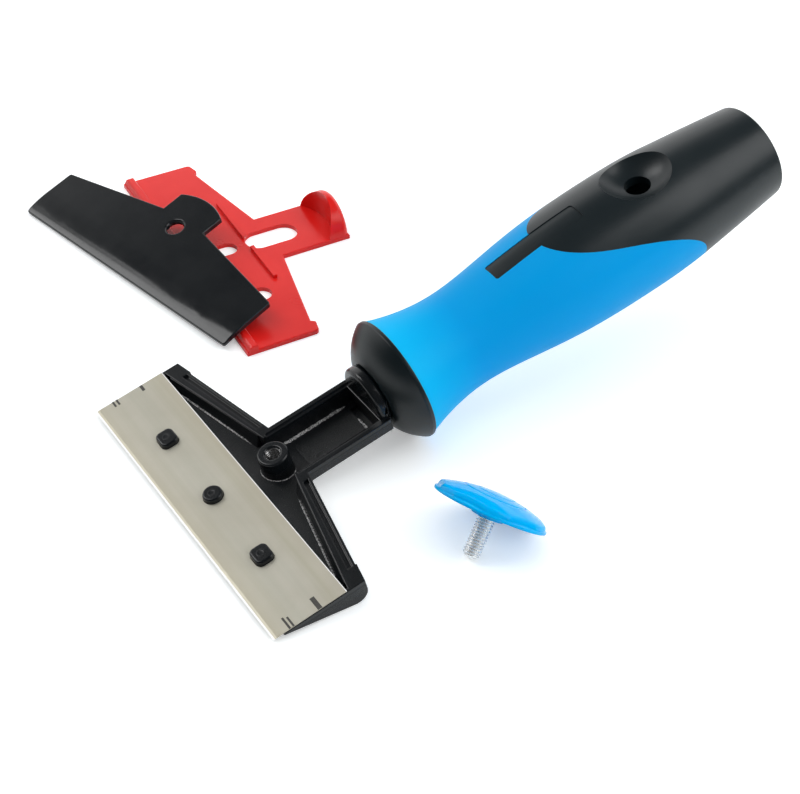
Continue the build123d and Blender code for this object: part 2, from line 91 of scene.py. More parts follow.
FLOOR_SHINE = 0.1
FLOOR_ROUGHNESS = 0.9
FLOOR_SPECULAR = 0.1
FLOOR_RADIUS = 0.55
FLOOR_SIDES = 96

# Materials: places in millimetres along a piece's own axis, depths of relief in metres
CASTING_SAND_Z = -1.2
NO_SAND_Z = -100.0
SAND_FADE = 0.5
SAND_DEPTH = 0.00018
PEEL_DEPTH = 0.00002
FLASH_DEPTH = 0.0001
GRAIN_DEPTH = 0.00003
LINE_DEPTH = 0.00002
# Painted light and shade on the handle's front end, fading out between these two places along its axis
FRONT_SHADING_X = 62.0
REAR_SHADING_X = 80.0
BEVEL_EDGE = -10.35
BEVEL_FADE = 0.15
REAR_EDGE = 10.72
REAR_FADE = 0.1
WARM_FROM = 3.0
WARM_TO = 10.5

# Edges of the solids, in millimetres and degrees
WELD_DISTANCE = 0.002
MERGE_DISTANCE = 0.001
FLAT_ANGLE = 1.0
ROUND_ANGLE = 38.0
ROUND_SEGMENTS = 2
HEAD_ROUND = 0.2
CLAMP_ROUND = 0.22
GUARD_ROUND = 0.28

# Thumb screw, in millimetres from the knob's rim plane
KNOB_RADIUS = 15.6
KNOB_RIM = 0.8
KNOB_STEP = 15.3
KNOB_EDGE = 2.1
KNOB_HEIGHT = 5.0
KNOB_SCALLOPS = 6
KNOB_SIDES = 288
KNOB_HOLLOW = 13.2
KNOB_HOLLOW_DEPTH = 1.2
SCALLOP_RADIUS = 9.2
SCALLOP_DEPTH = 1.7
SCALLOP_BLEND = 0.8
HUB_RADIUS = 4.6
HUB_DROP = 1.8
SMALL_ROUND = 0.3
RIM_ROUND = 0.25
RIM_ROUND_MIDDLE = 0.07
HOLLOW_ROUND = 0.1
MEDAL_RADIUS = 8.6
MEDAL_MARGIN = 1.2
MEDAL_GROOVE_WIDTH = 0.6
MEDAL_GROOVE = 0.35
MEDAL_RING = 4.9
MEDAL_RING_WIDTH = 0.5
MEDAL_RING_DEPTH = 0.25
MEDAL_SOFT = 0.1
CORNER = 1.1
DIP_FOOT = 0.55
EDGE_STEPS = 10
EDGE_PASSES = 8
DOME_STEPS = 8
MEDAL_STEPS = 56
# Rise of the dome above its edge, and radius of the ball that it is cut from
KNOB_CAP = KNOB_HEIGHT - KNOB_EDGE
KNOB_BALL = (KNOB_STEP**2 + KNOB_CAP**2) / (2 * KNOB_CAP)

# Threads, in millimetres, with shares of the pitch
STUD_RADIUS = 2.5
STUD_DROP = 13.0
STUD_THREAD_DEPTH = 0.42
STUD_TIP_TAPER = 0.6
THREAD_GAP = 0.01
THREAD_PITCH = 0.8
THREAD_SIDES = 48
THREAD_STEPS = 10
THREAD_ROOT_SHARE = 0.2
THREAD_FLANK_SHARE = 0.65

# Head casting, in millimetres in the tool's frame
BOSS_TOP = 2.2
BOSS_DEPTH = 7.3
THREAD_SUNK = 0.5
CORE_RADIUS = 2.1
CORE_THREAD_DEPTH = 0.28
CORE_WALL = 0.02
CHANNEL_HALF = 8.1
TUB_CORNER_X = 20.6
TUB_END_X = 11.5
TUB_END_Y = 49.2
FLOOR_FRONT_X = 5.0
FLOOR_FRONT_DEPTH = 1.6
FLOOR_REAR_X = 27.0
FLOOR_REAR_DEPTH = 6.4
WALL_SLOPE_START = 10.5
WALL_SLOPE_END = 47.0
WALL_SLOPE_DEPTH = 1.5
WALL_SLOPE_STEPS = 24
WALL_OVERLAP = 0.1
WALL_FOOT_WIDTH = 0.1
WALL_FOOT_RISE = 0.08
WALL_TOP_WIDTH = 0.12
WALL_TOP_FRONT_Z = -0.55
WALL_TOP_REAR_Z = -0.45
BEAD_STEP = 0.22
BEAD_SIDES = 8
BEAD_END = 0.12
BEAD_END_GIRTH = 0.25
BEAD_WAVE = 0.23
BEAD_SWELL = 0.45
BEAD_JITTER = 0.22
BEAD_GRAIN = 0.18
ARM_BEAD = 0.27
ARM_BEADS = (("left", 1, 43.0, 12.5), ("right", -1, 13.0, 43.5))
STEM_BEAD = ((23.5, 7.75), (45.6, 7.75))
STEM_BEAD_RADIUS = 0.5
PIT_BEAD = ((45.8, 1.5), (45.8, -7.6))
PIT_BEAD_RADIUS = 0.36
BOSS_BEAD_RING = 4.7
BOSS_BEAD_ANGLES = (150, 330)
BOSS_BEAD_RADIUS = 0.16
PEG_SPACING = 26.1
PEG_TOP = 1.7
PEG_MARK_RADIUS = 1.25
PEG_MARK_RISE = 0.035
STEM_MARK_PLACE = (31.0, -3.0)
STEM_MARK_RADIUS = 1.9
STEM_MARK_RISE = 0.12
MARK_SIDES = 40

# Blade's register ticks: place along and across, width and length, in millimetres
TICK_RISE = 0.012
BLADE_TOP = 0.2
BOX_FACES = ((0, 3, 2, 1), (4, 5, 6, 7), (0, 1, 5, 4), (1, 2, 6, 5), (2, 3, 7, 6), (3, 0, 4, 7))
TICKS = (
    (3.7, 48.7, 0.9, 2.4),
    (-4.2, 48.9, 0.6, 2.4),
    (-5.4, 48.9, 0.6, 2.4),
    (3.0, -47.8, 1.3, 4.3),
    (-4.8, -48.2, 0.55, 3.5),
    (-5.9, -47.9, 0.6, 4.1),
)

# Places of the tool's own axes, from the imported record
mounts = {mount["name"]: mount for mount in frame["record"]["mounts"]}
joints = {joint["name"]: joint for joint in frame["joints"]}


def axes(origin, up, across=None, forward=None):
    """Matrix of a right-handed local frame from its origin, its z and one other axis."""
    up = Vector(up).normalized()
    if forward is None:
        across = Vector(across).normalized()
        forward = across.cross(up).normalized()
    forward = Vector(forward).normalized()
    across = up.cross(forward)
    turned = Matrix((forward, across, up)).transposed().to_4x4()
    return Matrix.Translation(origin) @ turned


# The tool's frame has its origin on the middle of the blade seat, x rearwards and z off the seat.
BOSS_X = 19.2
BOSS_MIDDLE_Z = -2.5
SOCKET_MIDDLE_X = 139.35
KNOB_MIDDLE = -6.2

boss = mounts["screw_thread"]
socket = mounts["pole_socket"]
turn = joints["screw_turn"]
TOOL = axes(boss["pos_m"], boss["axis"], across=(0, 1, 0)) @ Matrix.Translation(
    (-BOSS_X * MM, 0, -BOSS_MIDDLE_Z * MM)
)
HAND = axes(socket["pos_m"], mounts["lock_hole"]["axis"], forward=socket["axis"]) @ Matrix.Translation(
    (-SOCKET_MIDDLE_X * MM, 0, 0)
)
SCREW = axes(turn["pos_m"], turn["axis"], across=(-turn["axis"][1], turn["axis"][0], 0)) @ Matrix.Translation(
    (0, 0, -KNOB_MIDDLE * MM)
)


class Graph:
    """Shorthand for one material's node tree."""

    def __init__(self, name, place=None):
        self.material = bpy.data.materials.new(name)
        self.material.use_nodes = True
        self.nodes = self.material.node_tree.nodes
        self.links = self.material.node_tree.links
        self.shader = self.nodes["Principled BSDF"]
        self.coords = self.node("TexCoord").outputs["Object"]
        if place is not None:
            self.coords = self.node(
                "Mapping",
                {"Vector": self.coords, "Location": place.to_translation(), "Rotation": place.to_euler()},
                vector_type="TEXTURE",
            ).outputs["Vector"]

    def node(self, kind, inputs=None, **settings):
        """New node with its inputs fed and its settings made."""
        made = self.nodes.new("ShaderNode" + kind)
        for key, value in settings.items():
            setattr(made, key, value)
        for key, value in (inputs or {}).items():
            self.feed(made.inputs[key], value)
        return made

    def feed(self, socket, value):
        """Link a socket to another one, or set it to a constant."""
        if isinstance(value, bpy.types.NodeSocket):
            self.links.new(value, socket)
        else:
            socket.default_value = value

    def stretched(self, scale):
        """Coordinates with another scale along each axis."""
        return self.node("Mapping", {"Vector": self.coords, "Scale": scale}).outputs["Vector"]

    def noise(self, scale, detail=4.0, roughness=0.6, vector=None):
        return self.node(
            "TexNoise",
            {"Vector": vector or self.coords, "Scale": scale, "Detail": detail, "Roughness": roughness},
        ).outputs["Fac"]

    def cells(self, scale):
        """Distance to the nearest of many scattered points."""
        return self.node("TexVoronoi", {"Vector": self.coords, "Scale": scale}).outputs["Distance"]

    def place(self, axis):
        """One local coordinate, in millimetres."""
        parts = self.node("SeparateXYZ", {"Vector": self.coords})
        return self.maths("MULTIPLY", parts.outputs[axis], 1 / MM)

    def maths(self, operation, first, second=0.0):
        return self.node("Math", {0: first, 1: second}, operation=operation).outputs[0]

    def spread(self, value, low, high, from_low=0.35, from_high=0.65):
        """Map a value to a range. The default source range is where noise lies."""
        return self.node(
            "MapRange",
            {"Value": value, "From Min": from_low, "From Max": from_high, "To Min": low, "To Max": high},
        ).outputs["Result"]

    def mix(self, share, first, second):
        """Colour between two others."""
        made = self.node("Mix", data_type="RGBA")
        self.feed(made.inputs[0], share)
        self.feed(made.inputs[6], first)
        self.feed(made.inputs[7], second)
        return made.outputs[2]

    def bump(self, height, strength, distance, normal=None):
        made = self.node("Bump", {"Height": height, "Strength": strength, "Distance": distance})
        if normal is not None:
            self.links.new(normal, made.inputs["Normal"])
        return made.outputs["Normal"]

    def set(self, **values):
        """Feed the shader's sockets, named with underscores in place of spaces."""
        for key, value in values.items():
            self.feed(self.shader.inputs[key.replace("_", " ")], value)


def black_paint(name, place, sand_level, roughness, dark, light):
    """Gloss black paint on a casting: orange peel on open faces, sandy below the sand level."""
    g = Graph(name, place)
    cloud = g.noise(90, 5)
    peel = g.noise(420, 2, 0.5)
    sand = g.noise(2300, 4, 0.75)
    sandy = g.spread(g.place("Z"), 1.0, 0.0, sand_level - SAND_FADE, sand_level)
    specks = g.spread(g.cells(1500), 1.0, 0.0, 0.05, 0.09)
    glints = g.maths("MULTIPLY", specks, g.spread(g.noise(260, 3), 0.0, 1.0, 0.45, 0.6))
    base = g.mix(g.spread(cloud, 0.0, 1.0), dark, light)
    colour = g.mix(g.maths("MULTIPLY", glints, sandy), base, (0.4, 0.4, 0.4, 1))
    skin = g.bump(peel, 0.3, PEEL_DEPTH)
    grain = g.bump(g.maths("MULTIPLY", sand, sandy), 0.9, SAND_DEPTH, skin)
    rough = g.maths("ADD", g.spread(cloud, roughness, roughness + 0.04), g.maths("MULTIPLY", sandy, 0.16))
    g.set(Base_Color=colour, Roughness=rough, Normal=grain, Specular_IOR_Level=0.42)
    return g.material


def rough_cast():
    """Torn flash on the casting: black with bare bright grains."""
    g = Graph("rough_flash")
    grains = g.noise(2600, 3, 0.8)
    colour = g.mix(g.spread(grains, 0.0, 1.0, 0.43, 0.58), (0.02, 0.02, 0.022, 1), (0.65, 0.65, 0.65, 1))
    g.set(Base_Color=colour, Roughness=0.45, Normal=g.bump(grains, 0.8, FLASH_DEPTH))
    return g.material


def satin_plastic(name, place, colour, shade, front, roughness, **extra):
    """Moulded plastic: spark-eroded grain, faint flow clouds, and painted light and shade at the front end.
    """
    g = Graph(name, place)
    cloud = g.noise(38, 4)
    flow = g.noise(30, 4, 0.5, g.stretched((0.2, 1.0, 1.0)))
    grain = g.noise(3800, 3, 0.7)
    pits = g.spread(g.cells(520), 1.0, 0.0, 0.04, 0.09)
    rare = g.maths("MULTIPLY", pits, g.spread(g.noise(150, 2), 0.0, 1.0, 0.6, 0.64))
    tone = g.mix(g.spread(flow, 0.0, 0.8), colour, shade)
    # Painted light and shade: towards the front end the colour turns to the front colour
    tone = g.mix(g.spread(g.place("X"), 1.0, 0.0, FRONT_SHADING_X, REAR_SHADING_X), tone, front)
    height = g.maths("SUBTRACT", grain, g.maths("MULTIPLY", rare, 2.0))
    g.set(
        Base_Color=tone,
        Roughness=g.spread(cloud, roughness * 0.9, roughness * 1.12),
        Normal=g.bump(height, 0.35, GRAIN_DEPTH),
        **extra,
    )
    return g.material


def red_plastic():
    """Glossy red moulding, a little see-through at its edges."""
    g = Graph("red_plastic")
    cloud = g.noise(45, 4)
    tone = g.mix(g.spread(cloud, 0.0, 1.0), (0.74, 0.013, 0.010, 1), (0.68, 0.009, 0.007, 1))
    g.set(
        Base_Color=tone,
        Roughness=g.spread(cloud, 0.2, 0.28),
        Specular_IOR_Level=0.36,
        Subsurface_Weight=0.15,
        Subsurface_Radius=(0.004, 0.0006, 0.0004),
        Subsurface_Scale=0.4,
    )
    return g.material


def blue_gloss():
    """Bright blue gloss moulding of the knob, lit a little from inside."""
    g = Graph("blue_gloss_plastic", SCREW)
    cloud = g.noise(120, 3)
    tone = g.mix(g.spread(cloud, 0.0, 1.0), (0.0, 0.39, 0.8, 1), (0.0, 0.375, 0.79, 1))
    g.set(
        Base_Color=tone,
        Roughness=g.spread(cloud, 0.08, 0.11),
        Normal=g.bump(g.noise(300, 2), 0.1, PEEL_DEPTH),
        Specular_IOR_Level=0.11,
        Subsurface_Weight=0.3,
        Subsurface_Radius=(0.0004, 0.002, 0.004),
        Subsurface_Scale=0.6,
    )
    return g.material


def blade_steel():
    """Rolled strip steel: lengthwise grain and bands, warm at the sides, ground edges painted near white as
    painted highlights.
    """
    g = Graph("blade_steel", TOOL)
    along = g.place("X")
    lines = g.noise(5200, 3, 0.65, g.stretched((1.0, 0.012, 0.0)))
    bands = g.noise(330, 2, 0.5, g.stretched((1.0, 0.02, 0.0)))
    cloud = g.noise(40, 4)
    sides = g.spread(g.maths("ABSOLUTE", along), 0.0, 1.0, WARM_FROM, WARM_TO)
    dots = g.spread(g.cells(190), 1.0, 0.0, 0.02, 0.035)
    bright_dots = g.maths("MULTIPLY", dots, g.spread(g.noise(120, 1), 0.0, 1.0, 0.56, 0.6))
    base = g.mix(sides, (0.455, 0.445, 0.375, 1), (0.445, 0.415, 0.315, 1))
    banded = g.mix(g.spread(bands, 0.0, 0.6), base, (0.52, 0.5, 0.43, 1))
    clouded = g.mix(g.spread(cloud, 0.0, 0.35), banded, (0.38, 0.35, 0.275, 1))
    dotted = g.mix(g.maths("MULTIPLY", bright_dots, 0.7), clouded, (0.9, 0.9, 0.88, 1))
    # Painted highlight: the ground front bevel and the rear edge are painted near white in place of their
    # reflections
    front = g.spread(along, 1.0, 0.0, BEVEL_EDGE - BEVEL_FADE, BEVEL_EDGE)
    rear = g.spread(along, 0.0, 1.0, REAR_EDGE - REAR_FADE, REAR_EDGE)
    ground_edge_highlight = g.maths("MAXIMUM", front, rear)
    g.set(
        Base_Color=g.mix(ground_edge_highlight, dotted, (0.88, 0.88, 0.88, 1)),
        Metallic=g.spread(ground_edge_highlight, 0.45, 0.15, 0.0, 1.0),
        Roughness=g.spread(lines, 0.34, 0.46),
        Normal=g.bump(lines, 0.15, LINE_DEPTH),
    )
    return g.material


def etched_mark():
    """Dark etched mark with slightly uneven tone."""
    g = Graph("etched_mark")
    wear = g.noise(5200, 2, 0.5)
    colour = g.mix(g.spread(wear, 0.0, 1.0), (0.035, 0.034, 0.03, 1), (0.06, 0.057, 0.05, 1))
    g.set(Base_Color=colour, Roughness=0.5)
    return g.material


def plated(name, bright, dull, metallic, roughness):
    """Plated steel with faint clouds."""
    g = Graph(name)
    cloud = g.noise(800, 4)
    g.set(
        Base_Color=g.mix(g.spread(cloud, 0.0, 1.0), bright, dull),
        Metallic=metallic,
        Roughness=g.spread(cloud, roughness, roughness + 0.1),
    )
    return g.material


MATERIALS = {
    "head_casting": black_paint(
        "black_casting_paint",
        TOOL,
        sand_level=CASTING_SAND_Z,
        roughness=0.22,
        dark=(0.004, 0.005, 0.006, 1),
        light=(0.005, 0.0065, 0.008, 1),
    ),
    "clamp_plate": black_paint(
        "black_clamp_paint",
        None,
        sand_level=NO_SAND_Z,
        roughness=0.14,
        dark=(0.008, 0.0095, 0.011, 1),
        light=(0.0095, 0.011, 0.0125, 1),
    ),
    "scraper_blade": blade_steel(),
    "blade_guard": red_plastic(),
    "screw_knob": blue_gloss(),
    "screw_stud": plated(
        "zinc_plate",
        bright=(0.98, 0.98, 0.97, 1),
        dull=(0.94, 0.95, 0.95, 1),
        metallic=0.66,
        roughness=0.22,
    ),
    "handle_core": satin_plastic(
        "black_hard_plastic",
        HAND,
        colour=(0.0065, 0.0115, 0.014, 1),
        shade=(0.0085, 0.0135, 0.016, 1),
        # Painted shade: the core's front dome is painted darker
        front=(0.002, 0.006, 0.008, 1),
        roughness=0.34,
        Specular_IOR_Level=0.44,
    ),
    "grip_sleeve": satin_plastic(
        "blue_soft_grip",
        HAND,
        colour=(0.0, 0.325, 0.73, 1),
        shade=(0.0, 0.31, 0.72, 1),
        # Painted light: the sleeve's front near the flange is painted lighter
        front=(0.0, 0.435, 0.82, 1),
        roughness=0.42,
        Specular_IOR_Level=0.08,
        Subsurface_Weight=0.15,
        Subsurface_Radius=(0.0004, 0.002, 0.004),
        Subsurface_Scale=0.5,
    ),
}

ROUGH_FLASH = rough_cast()


def dress():
    """Give each node of the frame its material."""
    for name, material in MATERIALS.items():
        for slot in frame["nodes"][name].material_slots:
            slot.material = material


def round_edges(name, width, limited=False):
    """Join a node's flat triangles and round its edges by modifiers. A limited rounding never overlaps."""
    node = frame["nodes"][name]
    weld = node.modifiers.new("weld", "WELD")
    weld.merge_threshold = WELD_DISTANCE * MM
    flat = node.modifiers.new("flat_faces", "DECIMATE")
    flat.decimate_type = "DISSOLVE"
    flat.angle_limit = math.radians(FLAT_ANGLE)
    bevel = node.modifiers.new("round_edges", "BEVEL")
    bevel.width = width * MM
    bevel.segments = ROUND_SEGMENTS
    bevel.limit_method = "ANGLE"
    bevel.angle_limit = math.radians(ROUND_ANGLE)
    bevel.use_clamp_overlap = limited
    smooth = node.modifiers.new("even_normals", "WEIGHTED_NORMAL")
    smooth.keep_sharp = True


def add_mesh(name, points, faces, place, material, body, smooth=True):
    """Make a piece from points in a local frame, in millimetres, and let it ride on a body."""
    mesh = bpy.data.meshes.new(name)
    moved = [place @ (Vector(point) * MM) for point in points]
    mesh.from_pydata(moved, [], faces)
    joined = bmesh.new()
    joined.from_mesh(mesh)
    bmesh.ops.remove_doubles(joined, verts=joined.verts, dist=MERGE_DISTANCE * MM)
    bmesh.ops.recalc_face_normals(joined, faces=joined.faces)
    joined.to_mesh(mesh)
    joined.free()
    if smooth:
        mesh.shade_smooth()
    else:
        mesh.shade_flat()
    mesh.materials.append(material)
    piece = bpy.data.objects.new(name, mesh)
    bpy.context.scene.collection.objects.link(piece)
    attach(piece, body)
    return piece


def circle(radius, height, count, middle=(0.0, 0.0)):
    """Ring of points at one height."""
    points = []
    for index in range(count):
        angle = 2 * math.pi * index / count
        points.append((middle[0] + radius * math.cos(angle), middle[1] + radius * math.sin(angle), height))
    return points


def ring_faces(rings, count):
    """Quads between neighbouring rings of points, each ring closed."""
    faces = []
    for ring in range(rings - 1):
        for index in range(count):
            follow = (index + 1) % count
            step = ring * count
            faces.append((step + index, step + follow, step + count + follow, step + count + index))
    return faces


def end_faces(total, count):
    """Flat faces on the first and last rings of points."""
    return [tuple(range(count)), tuple(range(total - count, total))]


def dome_height(radius):
    """Height of the knob's dome at a radius."""
    return KNOB_HEIGHT - KNOB_BALL + math.sqrt(KNOB_BALL**2 - radius**2)


def smooth_step(value, low, high):
    """Soft rise from 0 at low to 1 at high."""
    share = min(max((value - low) / (high - low), 0.0), 1.0)
    return share * share * (3 - 2 * share)


def scallop_edge(angle):
    """Radius of the knob's upper part, drawn in at each finger scallop."""
    centre = KNOB_STEP + SCALLOP_RADIUS - SCALLOP_DEPTH
    pitch = 2 * math.pi / KNOB_SCALLOPS
    off = (angle + pitch / 2) % pitch - pitch / 2
    reach = SCALLOP_RADIUS**2 - (centre * math.sin(off)) ** 2
    if reach <= 0:
        return KNOB_STEP
    drawn = centre * math.cos(off) - math.sqrt(reach)
    blend = max(SCALLOP_BLEND - abs(drawn - KNOB_STEP), 0.0) / SCALLOP_BLEND
    return min(drawn, KNOB_STEP) - blend * blend * SCALLOP_BLEND / 4


def edge_profile(edge):
    """Radii and heights from the rim up round the edge until the curve meets the dome.

    The curve's end is moved by a few passes until it lies on the dome in the dome's own direction.
    """
    foot = min(edge + (KNOB_STEP - edge) * DIP_FOOT, KNOB_STEP)
    depth = foot - edge + CORNER
    height = dome_height(edge) - KNOB_RIM
    for _ in range(EDGE_PASSES):
        end = math.atan(height / (depth * edge / (KNOB_BALL - KNOB_HEIGHT + dome_height(edge))))
        top = foot - depth * (1 - math.cos(end))
        height = (dome_height(top) - KNOB_RIM) / math.sin(end)
    bends = [end * (index + 1) / EDGE_STEPS for index in range(EDGE_STEPS)]
    return [(foot - depth * (1 - math.cos(bend)), KNOB_RIM + height * math.sin(bend)) for bend in bends]


def medal_relief(radius):
    """Groove round the knob's medal and a finer one inside it."""
    groove_middle = MEDAL_RADIUS - MEDAL_GROOVE_WIDTH / 2
    groove = 1 - smooth_step(abs(radius - groove_middle), MEDAL_SOFT, MEDAL_GROOVE_WIDTH / 2 + MEDAL_SOFT)
    ring = 1 - smooth_step(abs(radius - MEDAL_RING), MEDAL_SOFT / 2, MEDAL_RING_WIDTH / 2 + MEDAL_SOFT)
    return -ring * MEDAL_RING_DEPTH - groove * MEDAL_GROOVE


def knob():
    """Knob with its finger scallops, rim, medal and hollow underside."""
    below = [
        (STUD_RADIUS, -HUB_DROP),
        (HUB_RADIUS - SMALL_ROUND, -HUB_DROP),
        (HUB_RADIUS, -HUB_DROP + SMALL_ROUND),
        (HUB_RADIUS, KNOB_HOLLOW_DEPTH - SMALL_ROUND),
        (HUB_RADIUS + SMALL_ROUND, KNOB_HOLLOW_DEPTH),
        (KNOB_HOLLOW - SMALL_ROUND, KNOB_HOLLOW_DEPTH),
        (KNOB_HOLLOW, KNOB_HOLLOW_DEPTH - SMALL_ROUND),
        (KNOB_HOLLOW, HOLLOW_ROUND),
        (KNOB_HOLLOW + HOLLOW_ROUND, 0.0),
        (KNOB_RADIUS - RIM_ROUND, 0.0),
        (KNOB_RADIUS - RIM_ROUND_MIDDLE, RIM_ROUND_MIDDLE),
        (KNOB_RADIUS, RIM_ROUND),
        (KNOB_RADIUS, KNOB_RIM - RIM_ROUND),
        (KNOB_RADIUS - RIM_ROUND_MIDDLE, KNOB_RIM - RIM_ROUND_MIDDLE),
        (KNOB_RADIUS - RIM_ROUND, KNOB_RIM),
    ]
    points = []
    for radius, height in below:
        points += circle(radius, height, KNOB_SIDES)
    angles = [2 * math.pi * index / KNOB_SIDES for index in range(KNOB_SIDES)]
    profiles = [edge_profile(scallop_edge(angle)) for angle in angles]
    for index in range(EDGE_STEPS):
        for angle, profile in zip(angles, profiles):
            radius, height = profile[index]
            points.append((radius * math.cos(angle), radius * math.sin(angle), height))
    fixed = MEDAL_RADIUS + MEDAL_MARGIN
    for index in range(1, DOME_STEPS + 1):
        share = index / DOME_STEPS
        for angle, profile in zip(angles, profiles):
            radius = profile[-1][0] * (1 - share) + fixed * share
            points.append((radius * math.cos(angle), radius * math.sin(angle), dome_height(radius)))
    for index in range(1, MEDAL_STEPS):
        radius = fixed * (1 - index / MEDAL_STEPS)
        points += circle(radius, dome_height(radius) + medal_relief(radius), KNOB_SIDES)
    rings = len(points) // KNOB_SIDES
    faces = ring_faces(rings, KNOB_SIDES)
    centre = len(points)
    points.append((0, 0, dome_height(0)))
    last = (rings - 1) * KNOB_SIDES
    for index in range(KNOB_SIDES):
        faces.append((last + index, last + (index + 1) % KNOB_SIDES, centre))
    bottom = len(points)
    points.append((0, 0, -HUB_DROP))
    for index in range(KNOB_SIDES):
        faces.append(((index + 1) % KNOB_SIDES, index, bottom))
    piece = add_mesh("knob_cap", points, faces, SCREW, MATERIALS["screw_knob"], "screw")
    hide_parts("screw_knob")


def thread_wave(phase):
    """Height of a thread's flank at a share of its pitch, 1 on the crest."""
    rise = abs(phase % 1.0 - 0.5) * 2
    return min(max((rise - THREAD_ROOT_SHARE) / THREAD_FLANK_SHARE, 0.0), 1.0)


def thread_skin(low, high, root, crest, inside=False):
    """Points and quads of a helical thread along z, running out at both of its ends."""
    turns = int((high - low) / THREAD_PITCH) + 2
    rows = turns * THREAD_STEPS
    points = []
    for row in range(rows + 1):
        for side in range(THREAD_SIDES):
            share = side / THREAD_SIDES
            height = low - THREAD_PITCH + THREAD_PITCH * (row / THREAD_STEPS + share)
            clamped = min(max(height, low), high)
            depth = min(abs(crest - root) * thread_wave(row / THREAD_STEPS), high - clamped)
            if inside:
                radius = root - min(depth, clamped - low)
            else:
                radius = min(root + depth, root - STUD_TIP_TAPER + (clamped - low))
            angle = 2 * math.pi * share
            points.append((radius * math.cos(angle), radius * math.sin(angle), clamped))
    faces = []
    for row in range(rows):
        for side in range(THREAD_SIDES):
            here = row * THREAD_SIDES + side
            if side + 1 < THREAD_SIDES:
                beside = here + 1
            else:
                beside = (row + THREAD_STEPS) * THREAD_SIDES
            above = here + THREAD_SIDES
            corner = beside + THREAD_SIDES
            if corner < len(points):
                faces.append((here, beside, corner, above))
    return points, faces


def stud():
    """Zinc plated stud with a real helical thread."""
    root = STUD_RADIUS - STUD_THREAD_DEPTH
    points, faces = thread_skin(-STUD_DROP, KNOB_HOLLOW_DEPTH, root, STUD_RADIUS - THREAD_GAP)
    for radius, height in ((root - STUD_TIP_TAPER, -STUD_DROP), (root, KNOB_HOLLOW_DEPTH)):
        start = len(points)
        points += circle(radius, height, THREAD_SIDES)
        faces.append(tuple(range(start, start + THREAD_SIDES)))
    piece = add_mesh("stud_thread", points, faces, SCREW, MATERIALS["screw_stud"], "screw")
    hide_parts("screw_stud")


def boss_thread():
    """Steel thread inside the boss, closed by a thin wall behind it."""
    low, high = -BOSS_DEPTH, BOSS_TOP - THREAD_SUNK
    inner, outer = CORE_RADIUS - THREAD_GAP, CORE_RADIUS + CORE_WALL
    points, faces = thread_skin(low, high, inner, CORE_RADIUS - CORE_THREAD_DEPTH, inside=True)
    start = len(points)
    ends = ((inner, low), (outer, low), (outer, high), (inner, high))
    for radius, height in ends:
        points += circle(radius, height, THREAD_SIDES)
    faces += [tuple(start + corner for corner in face) for face in ring_faces(len(ends), THREAD_SIDES)]
    points = [(x + BOSS_X, y, z) for x, y, z in points]
    steel = plated(
        "thread_steel", bright=(0.5, 0.5, 0.5, 1), dull=(0.3, 0.3, 0.3, 1), metallic=1.0, roughness=0.2
    )
    add_mesh("boss_thread", points, faces, TOOL, steel, "tool")


def floor_height(x):
    """Height of the tub's floor along the tool."""
    slope = (FLOOR_REAR_DEPTH - FLOOR_FRONT_DEPTH) / (FLOOR_REAR_X - FLOOR_FRONT_X)
    return -(FLOOR_FRONT_DEPTH + slope * (min(x, FLOOR_REAR_X) - FLOOR_FRONT_X))


def line_path(start, end):
    """Points along a straight line on the tub's floor."""
    steps = int(math.dist(start, end) / BEAD_STEP)
    return [
        (start[0] + (end[0] - start[0]) * step / steps, start[1] + (end[1] - start[1]) * step / steps)
        for step in range(steps + 1)
    ]


def arc_path(middle_x, radius, first, last):
    """Points along an arc about a middle on the tool's own axis, between two angles in degrees."""
    steps = int(radius * math.radians(last - first) / BEAD_STEP)
    angles = [math.radians(first + (last - first) * step / steps) for step in range(steps + 1)]
    return [(middle_x + radius * math.cos(angle), radius * math.sin(angle)) for angle in angles]


def flash_bead(name, path, radius, seed):
    """Rough bead of flash on the tub's floor along a path."""
    random.seed(seed)
    points = []
    last = len(path) - 1
    for step, (x, y) in enumerate(path):
        before = path[max(step - 1, 0)]
        after = path[min(step + 1, last)]
        along = Vector((after[0] - before[0], after[1] - before[1], 0)).normalized()
        out = Vector((-along.y, along.x, 0))
        share = step / last
        ends = smooth_step(share, 0, BEAD_END) * smooth_step(1 - share, 0, BEAD_END)
        wave = noise.noise(Vector((step * BEAD_WAVE, seed, 0))) * BEAD_SWELL
        swell = wave + random.uniform(-BEAD_JITTER, BEAD_JITTER)
        girth = radius * (1 + swell) * (BEAD_END_GIRTH + (1 - BEAD_END_GIRTH) * ends)
        for side in range(BEAD_SIDES):
            angle = 2 * math.pi * side / BEAD_SIDES
            bump = girth * (1 + random.uniform(-BEAD_GRAIN, BEAD_GRAIN))
            point = Vector((x, y, floor_height(x))) + out * (bump * math.cos(angle))
            points.append(point + Vector((0, 0, bump * math.sin(angle))))
    faces = ring_faces(len(path), BEAD_SIDES) + end_faces(len(points), BEAD_SIDES)
    add_mesh(name, points, faces, TOOL, ROUGH_FLASH, "tool")


def wall_x(y):
    """Place of the tub's rear wall along the tool at the distance y from the middle."""
    share = (abs(y) - CHANNEL_HALF) / (TUB_END_Y - CHANNEL_HALF)
    return TUB_CORNER_X + (TUB_END_X - TUB_CORNER_X) * share


